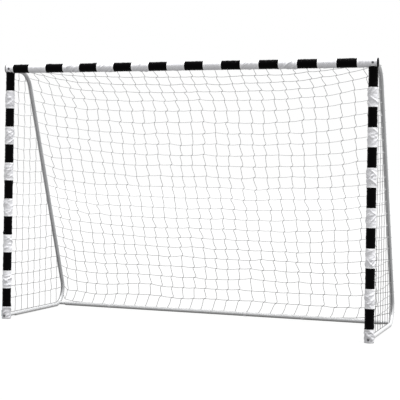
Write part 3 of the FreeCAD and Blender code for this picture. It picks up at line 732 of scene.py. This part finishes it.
def cords(name, lines):
    """One mesh of round cords along the lines."""
    verts, faces, uvs, start = [], [], [], 0
    turn = np.linspace(0, 2 * math.pi, CORD_SIDES + 1)
    for line in lines:
        line = np.asarray(line, float)
        keep = np.concatenate([[True], np.linalg.norm(np.diff(line, axis=0), axis=1) > 1e-5])
        line = line[keep]
        tangent = unit(np.gradient(line, axis=0))
        frame_u = []
        u = np.cross(tangent[0], np.array([0.31, 0.52, 0.79]))
        for k in range(len(line)):
            u = u - tangent[k] * np.dot(u, tangent[k])
            u = u / np.linalg.norm(u)
            frame_u.append(u)
        frame_u = np.array(frame_u)
        frame_v = np.cross(tangent, frame_u)
        ring = (frame_u[:, None, :] * np.cos(turn)[None, :, None]
                + frame_v[:, None, :] * np.sin(turn)[None, :, None])
        verts.append((line[:, None, :] + ring * CORD_R).reshape(-1, 3))
        uv = np.stack(np.broadcast_arrays(turn[None, :] / (2 * math.pi), lengths(line)[:, None]), -1)
        uvs.append(uv.reshape(-1, 2))
        faces.append(grid_faces(len(line), CORD_SIDES + 1, start, closed=False))
        start += len(line) * (CORD_SIDES + 1)
    return new_object(
        name, np.concatenate(verts), np.concatenate(faces), [net_cord], uvs=np.concatenate(uvs))


def knots(name, places, size):
    """A small lumpy knot of cord at each place."""
    bm = bmesh.new()
    bmesh.ops.create_icosphere(bm, subdivisions=2, radius=1.0)
    base = np.array([v.co[:] for v in bm.verts])
    tris = np.array([[v.index for v in f.verts] for f in bm.faces])
    bm.free()
    lobes = 1 + 0.22 * np.sin(base[:, 0] * 5 + base[:, 2] * 3) * np.cos(base[:, 1] * 4)
    base = base * lobes[:, None]
    verts, faces, uvs = [], [], []
    for k, p in enumerate(places):
        q = rng.uniform(-0.5, 0.5)
        c, s = math.cos(q), math.sin(q)
        shape = base * (np.array(size) * rng.uniform(0.85, 1.15, 3))
        x = shape[:, 0] * c - shape[:, 2] * s
        z = shape[:, 0] * s + shape[:, 2] * c
        verts.append(np.stack([x, shape[:, 1], z], 1) + p)
        faces.append(tris + k * len(base))
        uvs.append(np.stack([base[:, 0] * 0.5, base[:, 2] * 0.006], 1))
    return new_object(
        name, np.concatenate(verts), np.concatenate(faces), [net_cord], uvs=np.concatenate(uvs))


# knot places on the back: a regular grid, pulled about a little inside its edges
col_grid, row_grid = np.meshgrid(
    np.linspace(-POST_X, POST_X, ACROSS + 1), np.arange(DOWN + 1, dtype=float))
free = np.zeros_like(col_grid)
free[1:-1, 1:-1] = 1.0


def pulled(even, together, alone):
    """The grid's places pulled about by those amounts: neighbours together, and each alone."""
    return even + free * (together * smooth_noise(free.shape, 3) + alone * rng.normal(size=free.shape))


col_grid = pulled(col_grid, 0.0045, 0.0030)
row_grid = pulled(row_grid, 0.045, 0.035)
back = net_point(col_grid, row_grid)
back[:, :, 1] += free * 0.004 * smooth_noise(free.shape, 3)
sway = free * SWAY * np.clip(1 + 0.38 * rng.normal(size=free.shape), 0.15, 1.9)


def swaying(places, sway, out):
    """An upright cord through its knots: under each knot it leans one way, and it crosses over to
    the other side before the next, so it jogs back at every knot."""
    t = np.arange(MESH_STEPS)[:, None] / MESH_STEPS
    shape = np.sin(2 * math.pi * t) + 0.42 * np.sin(4 * math.pi * t) + 0.14 * np.sin(6 * math.pi * t)
    bow = np.sin(math.pi * t)
    line = []
    for j in range(len(places) - 1):
        a, b = places[j], places[j + 1]
        lean = sway[j] * (1 - t) + sway[j + 1] * t
        line.append(a + (b - a) * t - shape / 1.15 * lean * out + bow * rng.normal() * 0.0022 * out)
    line.append(places[-1:])
    return np.concatenate(line)


def wrap(p, n, side, start, end, steps=6):
    """Points round a side tube from the crown towards its outer side."""
    q = np.linspace(start, end, steps)[:, None]
    out = np.array([side, 0.0, 0.0])
    crown = np.array([0.0, n[0], n[1]])
    centre = np.array([side * POST_X, p[0], p[1]])
    return centre + (crown * np.cos(q) + out * np.sin(q)) * NET_R


def level_cord(j):
    """One level cord of the back. It sags between knots, and below the top one its ends lie round
    the side tubes."""
    p, n = rail_at(min(j * PITCH, BACK_END))
    row = back[j]
    places = []
    for i in range(ACROSS):
        drop = 0.0012 + 0.002 * rng.random()
        if j in (0, DOWN):
            drop = 0.0008
        places.append(row[i])
        places.append(row[i] + (row[i + 1] - row[i]) * 0.5 + np.array([0, 0, -drop]))
    places.append(row[ACROSS])
    line = through(np.array(places), 3)
    if j == 0:
        return line
    return np.concatenate([wrap(p, n, -1, WRAP_END, 0.0)[:-1], line, wrap(p, n, 1, 0.0, WRAP_END)[1:]])


uprights = [swaying(back[:, i], sway[:, i], ALONG_X) for i in range(ACROSS + 1)]
levels = [level_cord(j) for j in range(DOWN + 1)]
ties = [back[j, i] for j in range(1, DOWN + 1) for i in range(1, ACROSS)]

# the rear edge of a side panel, down the near side of the side tube, and its point furthest back
PANEL_EDGE = RAIL - RAIL_NORMAL * NET_R
PANEL_FAR = int(np.argmax(PANEL_EDGE[:, 0]))

level_heights = []
while SIDE_FIRST + SIDE_TALL * len(level_heights) < CROSS_Z - 0.03:
    level_heights.append(SIDE_FIRST + SIDE_TALL * len(level_heights))


def on_ground_tube(y):
    """Height of the cords that lie on top of the ground tube, at y."""
    fore, aft = CROSS_Y + SLEEVE_R, REAR_Y - LOW_RAD
    return np.interp(y, [fore, aft], [GROUND_FORE, SIDE_R]) + NET_R


def side_level(side, z):
    """One level cord of a side panel, from the post back to the side tube."""
    reach = np.interp(-z, -PANEL_EDGE[LEVEL_STEPS:, 1], PANEL_EDGE[LEVEL_STEPS:, 0])
    count = max(2, int((reach - FORE) / 0.05))
    y = np.linspace(FORE, reach, count + 1)
    sag = np.sin(np.pi * (y - FORE) / (reach - FORE))
    heights = z - 0.010 * sag + rng.normal(size=len(y)) * 0.0022
    heights[-1] = z
    across = side * (SIDE_X + rng.normal(size=len(y)) * 0.0006)
    return through(np.stack([across, y, heights], -1), 3)


def side_upright(side, k):
    """The upright cord k meshes back from the post, and the places of its knots."""
    y = FORE + SIDE_DEEP * k
    high = np.interp(y, PANEL_EDGE[: PANEL_FAR + 1, 0], PANEL_EDGE[: PANEL_FAR + 1, 1])
    low = on_ground_tube(y)
    if y >= REAR_Y - LOW_RAD:
        low = np.interp(y, PANEL_EDGE[:PANEL_FAR:-1, 0], PANEL_EDGE[:PANEL_FAR:-1, 1])
    heights = [high] + [z for z in level_heights[::-1] if low + 0.02 < z < high - 0.02] + [low]
    places, tied = [], []
    for z in heights:
        knotted = k > 0 and low < z < high
        drift = rng.normal() * 0.003 if knotted else 0.0
        places.append((side * SIDE_X, y + drift, z))
        if knotted:
            tied.append(places[-1])
    lean = [0.0] + [SWAY * rng.uniform(0.4, 1.3) if k else 0.0 for _ in heights[1:-1]] + [0.0]
    return swaying(np.array(places), np.array(lean), ALONG_Y), tied


def side_edge(side):
    """A panel's edge cord, along the near side of the side tube and the top of the ground tube."""
    edge = [(side * SIDE_X, p[0], p[1]) for p in PANEL_EDGE[::4]]
    for y in np.linspace(REAR_Y - LOW_RAD, FORE, 12)[1:]:
        edge.append((side * SIDE_X, y, on_ground_tube(y)))
    return np.array(edge)


def side_panel(side):
    lines = [side_level(side, z) for z in level_heights]
    tied = []
    for k in range(SIDE_UPRIGHTS):
        if FORE + SIDE_DEEP * k > REAR_Y - 0.02:
            break
        line, places = side_upright(side, k)
        lines.append(line)
        tied += places
    return lines + [side_edge(side)], tied


panels = {side: side_panel(side) for side in (-1, 1)}
pieces = [
    (cords("net_back_cords", uprights + levels), "net_back"),
    (knots("net_back_knots", ties, (0.0028, 0.0025, 0.0027)), None),
]
for side, word in ((-1, "left"), (1, "right")):
    lines, tied = panels[side]
    pieces.append((cords("net_side_cords_" + word, lines), "net_side_" + word))
    pieces.append((knots("net_side_knots_" + word, tied, (0.0025, 0.0028, 0.0027)), None))
for thing, node in pieces:
    if node:
        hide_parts(node)
    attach(thing, "root")

# ---------------------------------------------------------------- straps on the rear bar
STRAP_WIDE = 0.026
STRAP_THICK = 0.0011
STRAP_TURNS = 1.55
STRAP_GAP = 0.0003  # between the bar and the webbing
LAP_GAP = 0.0002  # between one turn of webbing and the next
LAP_TURN = 0.5  # radians in which the webbing climbs over its own first turn
TAIL_LIFT = 0.0008  # how far its free end stands up
SKEW = 0.0015  # the most that the second turn lies to one side of the first
SELVEDGE = 0.0003  # how much thicker the webbing is along its edges


def strap_places():
    """The middle of each strap, from the gaps between the CAD rings' points."""
    xs = sorted({round(v.co.x, 4) for v in NODES["rear_net_straps"].data.vertices})
    groups = [[xs[0]]]
    for x in xs[1:]:
        if x - groups[-1][-1] > 0.1:
            groups.append([])
        groups[-1].append(x)
    return [(g[0] + g[-1]) / 2 for g in groups]


def strap(name, x):
    """A webbing strap wound round the bar, its free end over its own first turn and pulled tight."""
    turns = np.linspace(0, 2 * math.pi * STRAP_TURNS, 120)
    wide = np.linspace(-0.5, 0.5, 13)
    over = np.clip((turns - 2 * math.pi + LAP_TURN) / LAP_TURN, 0, 1)
    lift = TAIL_LIFT * np.clip((turns - turns[-1] + LAP_TURN) / LAP_TURN, 0, 1) ** 2
    low = SIDE_R + STRAP_GAP + (STRAP_THICK + LAP_GAP) * over * over * (3 - 2 * over) + lift
    skew = rng.uniform(-SKEW, SKEW)
    edge = SELVEDGE * bell(np.abs(wide) - 0.46, 0.04)
    angle = (math.pi * 0.95 - turns)[:, None]
    layers = []
    for rise in (STRAP_THICK, 0.0):
        rad = low[:, None] + rise + edge[None, :] * (1 if rise else 0)
        across = x + wide[None, :] * STRAP_WIDE + skew * over[:, None]
        across, rad, turn = np.broadcast_arrays(across, rad, angle)
        layer = np.stack([across, BAR_Y + rad * np.cos(turn), BAR_Z + rad * np.sin(turn)], -1)
        layers.append(layer.reshape(-1, 3))
    rows, cols = len(turns), len(wide)
    size = rows * cols
    faces = [grid_faces(rows, cols, 0, closed=False), grid_faces(rows, cols, size, closed=False, flip=True)]
    rim = [r * cols for r in range(rows)]
    rim += [(rows - 1) * cols + c for c in range(1, cols)]
    rim += [r * cols + cols - 1 for r in range(rows - 2, -1, -1)]
    rim += list(range(cols - 2, 0, -1))
    rim = np.array(rim)
    after = np.roll(rim, -1)
    faces.append(np.stack([rim, after, after + size, rim + size], 1))
    along = np.cumsum(np.concatenate([[0], np.diff(turns) * low[1:]]))
    flat = np.stack(np.broadcast_arrays(wide[None, :] * STRAP_WIDE, along[:, None]), -1).reshape(-1, 2)
    thing = new_object(
        name, np.concatenate(layers), np.concatenate(faces), [webbing], uvs=np.concatenate([flat] * 2))
    return thing, float(along[-1])


for n, x in enumerate(strap_places()):
    thing, long = strap("rear_net_strap_%d" % (n + 1), x)
    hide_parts("rear_net_straps")
    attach(thing, "root")

# ---------------------------------------------------------------- stage, light and camera
FLOOR_HALF = 90
FLOOR_GLOW = 0.923  # with the lights the floor comes out about as bright as the world behind it


def floor_coat():
    """A pale, faintly clouded ground that glows."""
    m, nodes, links, bsdf = material("floor")
    cloud = noise_node(nodes, links, object_coord(nodes), 0.6, 3.0)
    links.new(ramp_node(nodes, links, cloud, [(0.3, 0.018), (0.7, 0.022)]), bsdf.inputs["Base Color"])
    bsdf.inputs["Emission Color"].default_value = (1.0, 1.0, 1.0, 1.0)
    bsdf.inputs["Emission Strength"].default_value = FLOOR_GLOW
    bsdf.inputs["Roughness"].default_value = 0.9
    bsdf.inputs["Specular IOR Level"].default_value = 0.1
    return m


corners = [(FLOOR_HALF * x, FLOOR_HALF * y, 0) for x, y in ((-1, -1), (1, -1), (1, 1), (-1, 1))]
floor = new_object("floor", corners, [(0, 1, 2, 3)], [floor_coat()])

world = bpy.data.worlds.new("studio")
bpy.context.scene.world = world
world.use_nodes = True
world.node_tree.nodes["Background"].inputs["Color"].default_value = (1.0, 1.0, 1.0, 1.0)
world.node_tree.nodes["Background"].inputs["Strength"].default_value = 1.0


def soft_sun(name, towards, power, spread):
    """A distant light that shines from the direction towards, as wide as spread in degrees."""
    light = bpy.data.lights.new(name, "SUN")
    light.energy, light.angle = power, math.radians(spread)
    thing = bpy.data.objects.new(name, light)
    thing.rotation_euler = Vector(towards).to_track_quat("Z", "Y").to_euler()
    bpy.context.collection.objects.link(thing)


soft_sun("key", towards=(0.25, -0.06, 0.905), power=11.0, spread=30.0)

yaw, pitch, roll = 0.3490, 0.0034, 0.0172
eye = Vector((2.870, CROSS_Y - 8.105, 1.190))
forward = Vector((-math.sin(yaw) * math.cos(pitch), math.cos(yaw) * math.cos(pitch), math.sin(pitch)))
right = Vector((math.cos(yaw), math.sin(yaw), 0.0))
up = right.cross(forward)
image_x = right * math.cos(roll) + up * math.sin(roll)
image_y = -right * math.sin(roll) + up * math.cos(roll)
cam = bpy.data.cameras.new("camera")
cam.lens, cam.sensor_width = 101.30, 36.0
cam.shift_x, cam.shift_y = 0.075, -0.075
cam.clip_end = 300.0
camera = bpy.data.objects.new("camera", cam)
camera.matrix_world = Matrix.Translation(eye) @ Matrix((image_x, image_y, -forward)).transposed().to_4x4()
bpy.context.collection.objects.link(camera)
bpy.context.scene.camera = camera
bpy.context.scene.view_settings.view_transform = "Standard"
